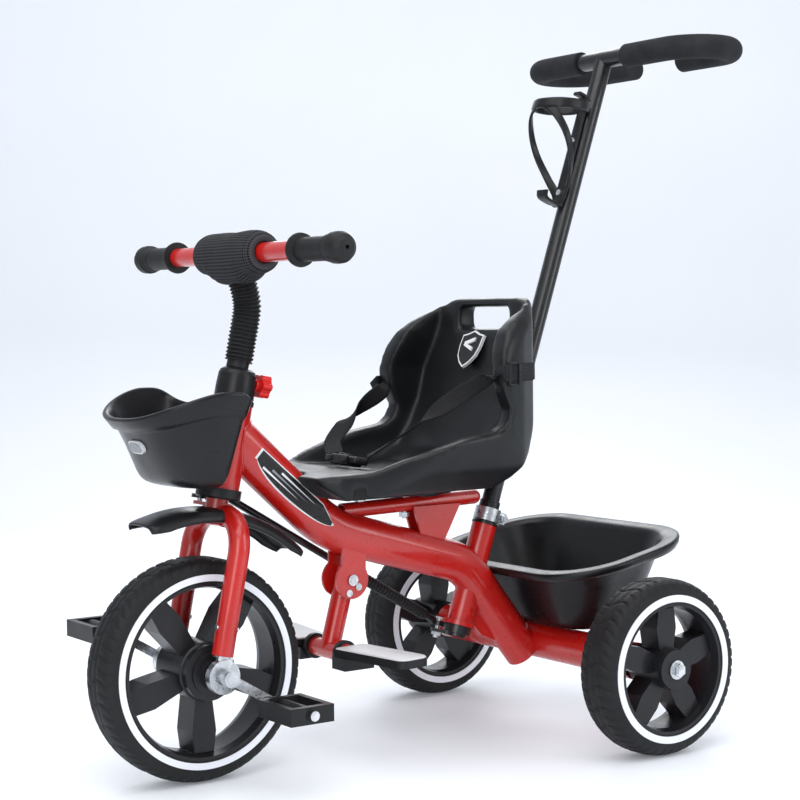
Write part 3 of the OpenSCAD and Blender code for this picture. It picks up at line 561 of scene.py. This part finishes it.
def basket_mesh(name, levels, plan, topz, mat, replaces, floor_n=6):
    """levels: list of (t, grow, inside) from the outside bottom up over the rim and down the inside."""
    verts = []
    rings = []
    for (t, grow, dz) in levels:
        pl = plan(t, grow)
        for (x, y) in pl:
            verts.append(P(x, y, topz(x, y, t) + dz))
        rings.append(len(pl))
    m = rings[0]
    faces = grid_faces(len(levels), m)
    # floors, outside and inside
    for base, first in ((0, True), ((len(levels) - 1) * m, False)):
        ring = list(range(base, base + m))
        c = sum((verts[i] for i in ring), Vector()) / m
        prev = ring
        for q in range(1, floor_n):
            k = 1 - q / floor_n
            cur = []
            for i in ring:
                cur.append(len(verts))
                verts.append(c + (verts[i] - c) * k)
            for j in range(m):
                faces.append((prev[j], prev[(j + 1) % m], cur[(j + 1) % m], cur[j]))
            prev = cur
        verts.append(c)
        for j in range(m):
            faces.append((prev[j], prev[(j + 1) % m], len(verts) - 1))
    return make(name, verts, faces, mat, "frame", replaces=replaces, slot="black_plastic")


def fb_plan(t, g):
    t = max(0.0, t)
    w = 69 + 26 * t ** 0.7 + g
    return outline_front(w, -43 - 44 * t - g, 9 + 19.5 * t + g * 0.1)


def fb_z(x, y, t):
    if y > -12:
        rim = 436 - 24 * ((y + 12) / 44) ** 4
    else:
        rim = 436 - 27 * ((-12 - y) / 75) ** 1.5
    return 331 + (rim - 331) * t


FB = [(0.0, -15, 0), (0.0, -10.5, 0.2), (0.008, -7.5, 0.5), (0.028, -4.4, 0.3), (0.06, -1.9, 0), (0.1, -0.5, 0), (0.16, 0.2, 0), (0.3, 0.3, 0), (0.5, 0, 0), (0.70, 0, 0), (0.745, 0.3, 0), (0.76, 2.6, 0), (0.775, 4.2, 0),
      (0.85, 4.8, 0), (0.96, 5.4, 0), (0.985, 5.0, 0), (1.0, 3.6, 0), (1.0, 1.6, 0), (0.99, 0.2, 0), (0.97, -0.8, 0), (0.9, -1.5, 0), (0.6, -2.2, 0), (0.3, -2.4, 0), (0.16, -2.9, 0), (0.09, -4.4, 0), (0.05, -7.6, 0), (0.035, -11.5, 0), (0.03, -16, 0)]
basket_mesh("basket_front", FB, fb_plan, fb_z, basket_mat, ("front_basket",))


def rect_plan(w, y0, y1, r, n=200):
    pts = []
    r = min(r, w - 1, (y1 - y0) / 2 - 1)
    for (cx, cyy, a0) in ((w - r, y1 - r, 0), (-(w - r), y1 - r, 90), (-(w - r), y0 + r, 180), (w - r, y0 + r, 270)):
        for k in range(24):
            g = math.radians(a0 + 90 * k / 23)
            pts.append((cx + r * math.cos(g), cyy + r * math.sin(g)))
    q = np.array(pts + [pts[0]])
    L = np.concatenate([[0], np.cumsum(np.linalg.norm(np.diff(q, axis=0), axis=1))])
    u = np.linspace(0, L[-1], n, endpoint=False)
    return np.stack([np.interp(u, L, q[:, 0]), np.interp(u, L, q[:, 1])], 1)


def rb_plan(t, g):
    k = t ** 0.85
    w = 97 + 54 * k + g
    return rect_plan(w, 477 - 48 * k - g, 567 + 38 * k + g, 34 + 34 * k + g * 0.8)


def rb_z(x, y, t):
    rim = 207 + (y - 430) * 0.205
    return 126.5 + (min(rim, 250) - 126.5) * t


RB = [(0.0, -6, 0), (0.0, -2.5, 0.4), (0.01, -0.5, 1.6), (0.04, 0.5, 1), (0.1, 0.8, 0), (0.3, 0.5, 0), (0.6, 0, 0), (0.86, 0, 0), (0.885, 1.0, 0), (0.9, 8, 0), (0.905, 15, -1.5),
      (0.915, 18, -3), (0.94, 19.4, -1.5), (0.97, 19.0, 0), (0.99, 17.4, 0), (1.0, 15, 0), (1.0, 10, 0), (1.0, 4, 0), (0.995, 1.0, 0), (0.975, -1.6, 0), (0.94, -2.6, 0), (0.6, -3, 0), (0.3, -2.8, 0), (0.08, -3, 0), (0.045, -4.5, 0), (0.03, -8, 0)]
basket_mesh("basket_rear", RB, rb_plan, rb_z, basket_mat, ("rear_basket",))


# ---------------------------------------------------------------- bellows, bar pad
stem, _ = smooth_path([(0, 59.2, 458), (0, 62.5, 470), (0, 66, 487), (0, 69.5, 503), (0, 72.6, 519), (0, 73.2, 531), (0, 70.8, 545), (0, 66.5, 560), (0, 63, 572)], 420)


def bellows_r(i, n):
    t = i / (n - 1)
    if t < 0.07:
        return 12.6
    return 14.3 + 1.9 * (0.5 + 0.5 * math.cos(2 * math.pi * (t - 0.07) * 26)) ** 0.8


tube_mesh("bellows", stem, bellows_r, M["rubber"], "handlebar", seg=48, replaces=("stem_bellows",), slot="rubber")


def pad_mesh():
    n, m = 110, 84
    verts, uv = [], []
    for i in range(n):
        x = -64 * math.cos(math.pi * i / (n - 1))
        e = max(0.0, 1 - (abs(x) / 64) ** 9)
        for k in range(m):
            g = 2 * math.pi * k / m
            r = 17.0 + 7.6 * e ** 0.5
            wob = 0.5 * math.sin(3 * g + x * 0.06) * e + 0.4 * math.sin(x * 0.11 + 2 * g) * e
            # the closing flap hangs round the stem at the middle
            low = max(0.0, -math.sin(g)) ** 1.6 * 9.0 * (1 / (1 + (abs(x) / 36) ** 12)) * e
            seam = 0.9 * math.exp(-((g - math.radians(250)) / 0.05) ** 2) + 0.7 * math.exp(-((abs(x) - 57) / 1.2) ** 2)
            rr = r + wob + low - seam
            verts.append(P(x, 60 + rr * math.cos(g), 586 + rr * math.sin(g)))
            uv.append((x / 1000 * 1.0, g * 0.0245))
    faces = grid_faces(n, m)
    # ends turned in against the tube
    for base, sx in ((0, -1), ((n - 1) * m, 1)):
        prev = base
        for (r, dx) in ((15.0, 0.4), (12.6, -0.8), (11.1, -2.5)):
            start = len(verts)
            for k in range(m):
                g = 2 * math.pi * k / m
                verts.append(P(sx * (64 + dx), 60 + r * math.cos(g), 586 + r * math.sin(g)))
                uv.append((sx * (64 + dx) / 1000, g * 0.0245))
            for k in range(m):
                faces.append((prev + k, prev + (k + 1) % m, start + (k + 1) % m, start + k))
            prev = start
    ob = make("bar_pad_cover", verts, faces, M["pad_fabric"], "handlebar", uv=uv, replaces=("bar_pad",), slot="pad_fabric")


pad_mesh()


# ---------------------------------------------------------------- harness straps
def ribbon(name, pts, normals, width, replaces=(), thick=1.5):
    path, length = smooth_path(pts, 80)
    nn, _ = smooth_path([np.array(p) * 100.0 for p in normals], 80) if len(normals) == len(pts) else (np.array([normals[0]] * 80) * 1.0, 0)
    us = np.linspace(0, len(pts) - 1, 80)
    nrm = np.stack([np.interp(us, np.arange(len(pts)), [q[k] for q in normals]) for k in range(3)], 1)
    verts, uv = [], []
    for i in range(80):
        t = path[min(79, i + 1)] - path[max(0, i - 1)]
        t /= np.linalg.norm(t)
        n = nrm[i] - t * (nrm[i] @ t)
        n /= np.linalg.norm(n)
        b = np.cross(t, n)
        for j in range(7):
            o = (j / 6 - 0.5) * width
            q = path[i] + b * o + n * 0.8
            verts.append(P(*q))
            uv.append((o / 1000, length * i / 79 / 1000))
    ob = make(name, verts, grid_faces(80, 7, close_v=False), M["webbing"], "frame", uv=uv, slot="webbing", replaces=replaces)
    md = ob.modifiers.new("thick", "SOLIDIFY")
    md.thickness = thick / 1000
    md.offset = 0
    return ob, length


straps = []
route = [(42, 434.5, 0.0, (0, 1, 0)), (62, 433, 0.0, (0.15, 1, 0)), (78, 424, 0.0, (0.6, 0.8, 0)), (89.5, 412.5, 0.0, (0.65, 0.75, 0)), (101.5, 402.5, 0.0, (0.7, 0.7, 0)), (110.8, 389, 0.0, (0.86, 0.5, 0)),
         (120, 375, 0.0, (0.9, 0.4, 0)), (129, 360, 0.0, (0.96, 0.25, 0)), (132.2, 346, 0.0, (1, 0, 0)), (127.5, 336.5, 0.0, (0.6, -0.8, 0)), (117, 333.5, -2.0, (0, -1, 0)), (104, 326, -9.0, (-0.6, -0.8, 0.3))]
side_n = [q[3] for q in route] + [(-0.5, -0.5, 0.8), (-0.3, -0.4, 1), (0, -0.2, 1)]
near = [(x, y, 447 + z) for (x, y, z, _n) in route] + [(84, 290, 412), (60, 248, 378), (34, 212, 351)]
far = [(-x, y - (5.5 if y > 424 else 0), 428 + z * 0.9) for (x, y, z, _n) in route] + [(-90, 280, 398), (-66, 230, 366), (-34, 210, 351)]
for tag, pts, sg in (("l", near, 1), ("r", far, -1)):
    nr = [(sg * a, b, c) for (a, b, c) in side_n]
    ob, ln = ribbon("strap_" + tag, pts, nr, 21, replaces=("harness_straps",) if sg > 0 else ())
    straps.append((ob, ln))
    print("strap", tag, "length mm", round(ln, 1))


# ---------------------------------------------------------------- small raised badges
def plate(name, centre, right, up, outline, thick, mat, body, slot=None):
    """A flat badge: outline in mm in the plane of right and up."""
    c, r, u = (np.array(v, float) for v in (centre, right, up))
    r /= np.linalg.norm(r)
    u /= np.linalg.norm(u)
    n = np.cross(r, u)
    m = len(outline)
    verts = [P(*(c + r * a + u * b + n * h)) for h in (-2.0, thick) for (a, b) in outline]
    faces = [tuple(range(m)), tuple(range(m, 2 * m))] + [(j, (j + 1) % m, m + (j + 1) % m, m + j) for j in range(m)]
    return make(name, verts, faces, mat, body, slot=slot, smooth=False)


def pill(w, h, n=12):
    out = []
    for (cx, a0) in ((w - h, -90), (-(w - h), 90)):
        for k in range(n + 1):
            g = math.radians(a0 + 180 * k / n)
            out.append((cx + h * math.cos(g), h * math.sin(g)))
    return out


def shield(k):
    pts = [(-1, 0.78), (-0.55, 0.86), (0, 1.05), (0.55, 0.86), (1, 0.78), (0.98, 0.1), (0.82, -0.45), (0.45, -0.85), (0, -1.12), (-0.45, -0.85), (-0.82, -0.45), (-0.98, 0.1)]
    return [(k * 21 * a, k * 23 * b) for a, b in pts]


lean = (0, 0.5, 1)
for i, (k, mt, th) in enumerate(((1.0, decal_white, 0.8), (0.9, decal_black, 1.2))):
    plate("seat_shield_%d" % i, (-7, 392.4, 473), (1, 0, 0), (0, 0.50, 1), shield(k), th + 1.0, mt, "frame", "white_ring" if i == 0 else "black_plastic")
plate("seat_shield_mark", (-7, 392.4, 477), (1, 0, 0), (0, 0.50, 1), [(-9, 4), (9, 10), (9, 5), (-3, 1), (9, -3), (9, -8), (-9, -1)], 2.6, decal_white, "frame", "white_ring")
for i, (a, b, mt, th) in enumerate(((15, 7.5, decal_white, 1.2), (13.6, 6.1, decal_grey, 1.6))):
    plate("basket_badge_%d" % i, (0, -66.5, 376), (1, 0, 0), (0, -0.42, 1), pill(a, b), th + 1.2, mt, "frame", "white_ring")


# ---------------------------------------------------------------- buckle and strap adjusters
def block(name, centre, right, up, w, h, d, rad, mat, body, replaces=(), slot=None, ease=1.6):
    """A rounded block: w along right, h along up, d deep, with eased front and back edges."""
    c, r, u = (np.array(v, float) for v in (centre, right, up))
    r /= np.linalg.norm(r)
    u = u - r * (u @ r)
    u /= np.linalg.norm(u)
    n = np.cross(r, u)

    def ring(ins, off):
        out = []
        rr = max(0.4, rad - ins)
        for (cx, cy, a0) in ((w / 2 - ins - rr, h / 2 - ins - rr, 0), (-(w / 2 - ins - rr), h / 2 - ins - rr, 90), (-(w / 2 - ins - rr), -(h / 2 - ins - rr), 180), (w / 2 - ins - rr, -(h / 2 - ins - rr), 270)):
            for k in range(9):
                g = math.radians(a0 + 90 * k / 8)
                q = c + r * (cx + rr * math.cos(g)) + u * (cy + rr * math.sin(g)) + n * off
                out.append(P(*q))
        return out

    levels = [(ease, -d / 2), (ease * 0.3, -d / 2 + ease * 0.3), (0, -d / 2 + ease), (0, d / 2 - ease), (ease * 0.3, d / 2 - ease * 0.3), (ease, d / 2)]
    verts = [v for (a, b) in levels for v in ring(a, b)]
    m = len(verts) // len(levels)
    faces = grid_faces(len(levels), m) + [tuple(range(m)), tuple((len(levels) - 1) * m + k for k in range(m))]
    ob = make(name, verts, faces, mat, body, replaces=replaces, slot=slot)
    auto_edges(ob, 50)
    return ob


block("buckle_body", (0, 204, 346), (1, 0, 0), (0, -0.97, 0.2), 36, 26, 12, 6, M["black_plastic"], "frame", replaces=("harness_buckle",), slot="black_plastic")
block("buckle_button", (0, 203, 352.4), (1, 0, 0), (0, -0.97, 0.2), 15, 15, 4, 6, M["black_plastic"], "frame", slot="black_plastic", ease=1.2)
for q in (-1, 1):
    block("buckle_prong_%s" % ("l" if q > 0 else "r"), (q * 24, 204.5, 346.5), (1, 0, 0), (0, -0.97, 0.2), 17, 21, 8, 4, M["black_plastic"], "frame", slot="black_plastic")
    for t in (-1, 1):
        block("buckle_catch_%s%d" % ("l" if q > 0 else "r", t), (q * 15.5, 204 - t * 12.5, 347.5 + t * 2), (1, 0, 0), (0, -0.97, 0.2), 9, 4, 7, 1.8, M["black_plastic"], "frame", slot="black_plastic", ease=0.8)
for q, z in ((1, 446), (-1, 428)):
    for t in (-1, 1):
        block("adjuster_%s%d" % ("l" if q > 0 else "r", t), (q * 131.8, 352 + t * 7, z), (q * -0.12, 1, 0), (0, 0, 1), 3.4, 28, 4.6, 1.6, M["black_plastic"], "frame", slot="black_plastic", ease=0.9)
        block("adjuster_bar_%s%d" % ("l" if q > 0 else "r", t), (q * 131.8, 352, z + t * 12.6), (q * -0.12, 1, 0), (0, 0, 1), 17, 3.4, 4.6, 1.6, M["black_plastic"], "frame", slot="black_plastic", ease=0.9)


# ---------------------------------------------------------------- foot pad tops: pale grey layer on the black pads, a painted sheen
def pad_tops():
    cy, cz, ln, wd = FOOT_Y, FOOT_Z, 116.0, 44.0
    verts, faces = [], []
    for sg in (1, -1):
        ca, sa = math.cos(math.radians(8)), math.sin(math.radians(8))
        out = []
        for (cx, c2, a0, r) in ((ln - 13, wd / 2 - 13, 0, 12), (3.4, wd / 2 - 3.4, 90, 2.4), (3.4, -(wd / 2 - 3.4), 180, 2.4), (ln - 13, -(wd / 2 - 13), 270, 12)):
            for k in range(9):
                g = math.radians(a0 + 90 * k / 8)
                out.append((cx + r * math.cos(g), c2 + r * math.sin(g)))
        m = len(out)
        base = len(verts)
        mid = (ln / 2, 0)
        for (ins, h) in ((1.0, 7.6), (1.0, 9.8), (0.985, 10.5), (0.96, 10.8)):
            for (a, b) in out:
                a2, b2 = mid[0] + (a - mid[0]) * ins, b * ins
                x, y = 37 + a2 * ca - b2 * sa, cy + 2 + a2 * sa + b2 * ca
                verts.append(P(sg * x, y, cz - 1 + h))
        for i in range(3):
            for k in range(m):
                faces.append((base + i * m + k, base + i * m + (k + 1) % m, base + (i + 1) * m + (k + 1) % m, base + (i + 1) * m + k))
        faces += [tuple(base + k for k in range(m)), tuple(base + 3 * m + k for k in range(m))]
    # the pale grey of these tops is painted sheen, a painted reflection on black plastic
    ob = make("foot_pad_tops_painted_sheen", verts, faces, M["foot_pad_plastic"], "footrest", slot="foot_pad_plastic")
    auto_edges(ob, 50)


FOOT_A = math.radians(15.5)
FOOT_Y, FOOT_Z = 200 - 84 * math.sin(FOOT_A), 207 - 84 * math.cos(FOOT_A)
pad_tops()


# ---------------------------------------------------------------- mudguard: curved shell with rounded ends
def mud_shell():
    # half section: distance in from the crown line, and across
    outer = [(0.0, 0), (0.1, 7), (0.5, 13.5), (1.2, 19), (2.4, 24), (4.6, 28.4), (7.6, 31.2), (11.2, 32.8), (15.0, 33.6)]
    n = 96
    a0, a1 = math.radians(43.4), math.radians(112.4)
    verts = []
    half = len(outer)
    prof = [(d, -w) for d, w in reversed(outer)] + outer[1:]
    m = len(prof)
    for i in range(n):
        a = a0 + (a1 - a0) * i / (n - 1)
        # ends are rounded in plan: the width closes over the last stretch
        e0 = (a - a0) * 181
        e1 = (a1 - a) * 181
        e = min(e0, e1)
        k = 1.0 if e >= 12 else math.sqrt(max(0.0, 1 - ((12 - e) / 12) ** 2)) * 0.2 + 0.8
        for (d, w) in prof:
            dd = d * min(1.0, 0.7 + 0.3 * e / 20)
            r = 180.6 - dd
            verts.append(P(w * k, r * math.cos(a), 125 + r * math.sin(a)))
    faces = grid_faces(n, m, close_v=False)
    ob = make("mudguard_shell", verts, faces, M["black_plastic"], "steering", replaces=("mudguard",), slot="black_plastic")
    md = ob.modifiers.new("thick", "SOLIDIFY")
    md.thickness = 0.0026
    md.offset = -1
    return ob


mud_shell()


# ---------------------------------------------------------------- bottle cage: moulded hoop and arms
PT = math.radians(19)


def on_post(x, y, z):
    """Push post coordinates to tricycle millimetres."""
    return (x, 319 + y * math.cos(PT) + z * math.sin(PT), -y * math.sin(PT) + z * math.cos(PT))


def band(name, pts, width, thick, n=70, closed=False, replaces=()):
    """A flat rounded band round the bottle's axis, through points in post coordinates."""
    if closed:
        pts = pts + [pts[0]]
    path, _ = smooth_path(pts, n)
    if closed:
        path = path[:-1]
    n = len(path)
    verts = []
    sec = [(a * 0.5, b * 0.5) for a, b in ((1, 0.5), (0.86, 0.95), (0.5, 1), (-0.5, 1), (-0.86, 0.95), (-1, 0.5), (-1, -0.5), (-0.86, -0.95), (-0.5, -1), (0.5, -1), (0.86, -0.95), (1, -0.5))]
    for i in range(n):
        a, b = (path[i - 1], path[(i + 1) % n]) if closed else (path[max(0, i - 1)], path[min(n - 1, i + 1)])
        t = (b - a) / np.linalg.norm(b - a)
        r = np.array([path[i][0], path[i][1] + 47.6, 0.0])
        r = r - t * (r @ t)
        r /= np.linalg.norm(r)
        w = np.cross(t, r)
        wd = width(i / (n - 1)) if callable(width) else width
        for (u, v) in sec:
            verts.append(P(*on_post(*(path[i] + w * (u * wd) + r * (v * thick)))))
    m = len(sec)
    faces = grid_faces(n, m, close_u=closed)
    if not closed:
        faces += [tuple(range(m)), tuple((n - 1) * m + k for k in range(m))]
    ob = make(name, verts, faces, M["black_plastic"], "push_handle", replaces=replaces, slot="black_plastic")
    auto_edges(ob, 60)
    return ob


hoop = [(0, -14.5, 815), (-17, -18.5, 813), (-32, -34, 808), (-34.5, -52, 803), (-25, -72, 798), (0, -82, 795), (25, -72, 798), (34.5, -52, 803), (32, -34, 808), (17, -18.5, 813)]
band("cage_hoop", hoop, 13, 3.2, closed=True, n=120, replaces=("bottle_cage",))
for q, tag in ((1, "l"), (-1, "r")):
    band("cage_arm_" + tag, [(q * 6, -80.5, 796), (q * 24, -72, 784), (q * 34, -56, 764), (q * 33, -40, 742), (q * 22, -24, 718), (q * 9, -15.5, 700), (q * 4, -14.2, 690)], lambda t: 9 + 4 * abs(2 * t - 1) ** 3, 3.2)
band("cage_back", [(0, -14.3, 682), (0, -14.3, 720), (0, -14.3, 760), (0, -14.3, 800), (0, -14.6, 822), (0, -18, 829), (0, -29, 830)], lambda t: 17 - 3 * t, 4.4)
band("cage_ledge", [(0, -14, 690), (0, -15, 685), (0, -22, 683.5), (0, -34, 684), (0, -41, 686.5), (0, -43.2, 694)], lambda t: 15 + 6 * t, 3.4)


# ---------------------------------------------------------------- stage
def simple_plane():
    s = 6.0
    me = bpy.data.meshes.new("floor")
    # floor sweeping up into the backdrop behind the object, as seen by the main camera
    yaw = math.radians(55.21)
    back = Vector((-math.sin(yaw), math.cos(yaw), 0))
    right = Vector((math.cos(yaw), math.sin(yaw), 0))
    prof = [(-s, 0)] + [(2.2, 0)] + [(2.2 + 1.2 * math.sin(g), 1.2 - 1.2 * math.cos(g)) for g in np.linspace(0.05, math.pi / 2, 24)] + [(3.4, 6.0)]
    verts, faces = [], []
    for (d, z) in prof:
        for w in (-8.0, 8.0):
            verts.append(tuple(back * d + right * w + Vector((0, 0, z))))
    for i in range(len(prof) - 1):
        faces.append((2 * i, 2 * i + 1, 2 * i + 3, 2 * i + 2))
    me.from_pydata(verts, [], faces)
    for p in me.polygons:
        p.use_smooth = True
    ob = bpy.data.objects.new("floor", me)
    bpy.context.scene.collection.objects.link(ob)
    m, nt, b = base_mat("floor_paper", (0.86, 0.885, 0.925), 0.5, spec=0.2)
    b.inputs["Emission Color"].default_value = (0.86, 0.90, 0.96, 1)
    b.inputs["Emission Strength"].default_value = 0.13
    v = coords(nt)
    nt.links.new(mixc(nt, ramp(nt, noise(nt, v, 1.2), 0, 1), (0.85, 0.875, 0.92), (0.88, 0.905, 0.94)), b.inputs["Base Color"])
    me.materials.append(m)


simple_plane()


def area(name, loc, target, size, power, color=(1, 1, 1)):
    d = bpy.data.lights.new(name, "AREA")
    d.shape = "RECTANGLE"
    d.size, d.size_y = size
    d.energy = power
    d.color = color
    ob = bpy.data.objects.new(name, d)
    ob.location = loc
    ob.rotation_mode = "QUATERNION"
    ob.rotation_quaternion = (Vector(target) - Vector(loc)).to_track_quat("-Z", "Y")
    bpy.context.scene.collection.objects.link(ob)


area("key_top", (0.4, -0.6, 2.6), (0, 0, 0.4), (2.6, 2.6), 50)
area("left_soft", (2.2, -2.4, 1.5), (0, 0, 0.4), (1.6, 2.2), 34)
area("right_soft", (2.6, 1.6, 1.4), (0, 0, 0.4), (1.2, 2.2), 26)
area("back_rim", (-1.8, 1.4, 1.8), (0, 0, 0.4), (1.6, 1.6), 22)

world = bpy.data.worlds.new("world")
world.use_nodes = True
world.node_tree.nodes["Background"].inputs["Color"].default_value = (0.86, 0.90, 0.96, 1)
world.node_tree.nodes["Background"].inputs["Strength"].default_value = 0.5
bpy.context.scene.world = world
bpy.context.scene.view_settings.view_transform = "Standard"

# ---------------------------------------------------------------- camera at the photo's angle
yaw, pitch, roll = math.radians(55.21), math.radians(2.72), math.radians(-0.68)
back = Vector((math.sin(yaw) * math.cos(pitch), -math.cos(yaw) * math.cos(pitch), math.sin(pitch)))
rt = Vector((math.cos(yaw), math.sin(yaw), 0))
up = back.cross(rt)
r2 = rt * math.cos(roll) + up * math.sin(roll)
u2 = -rt * math.sin(roll) + up * math.cos(roll)
cam_data = bpy.data.cameras.new("camera")
cam_data.lens = 82.84
cam_data.sensor_width = 36
cam = bpy.data.objects.new("camera", cam_data)
rot = Matrix((r2, u2, back)).transposed()
cam.matrix_world = Matrix.Translation(P(1804.2, -971.5, 518.4)) @ rot.to_4x4()
bpy.context.scene.collection.objects.link(cam)
bpy.context.scene.camera = cam

bpy.context.view_layer.update()
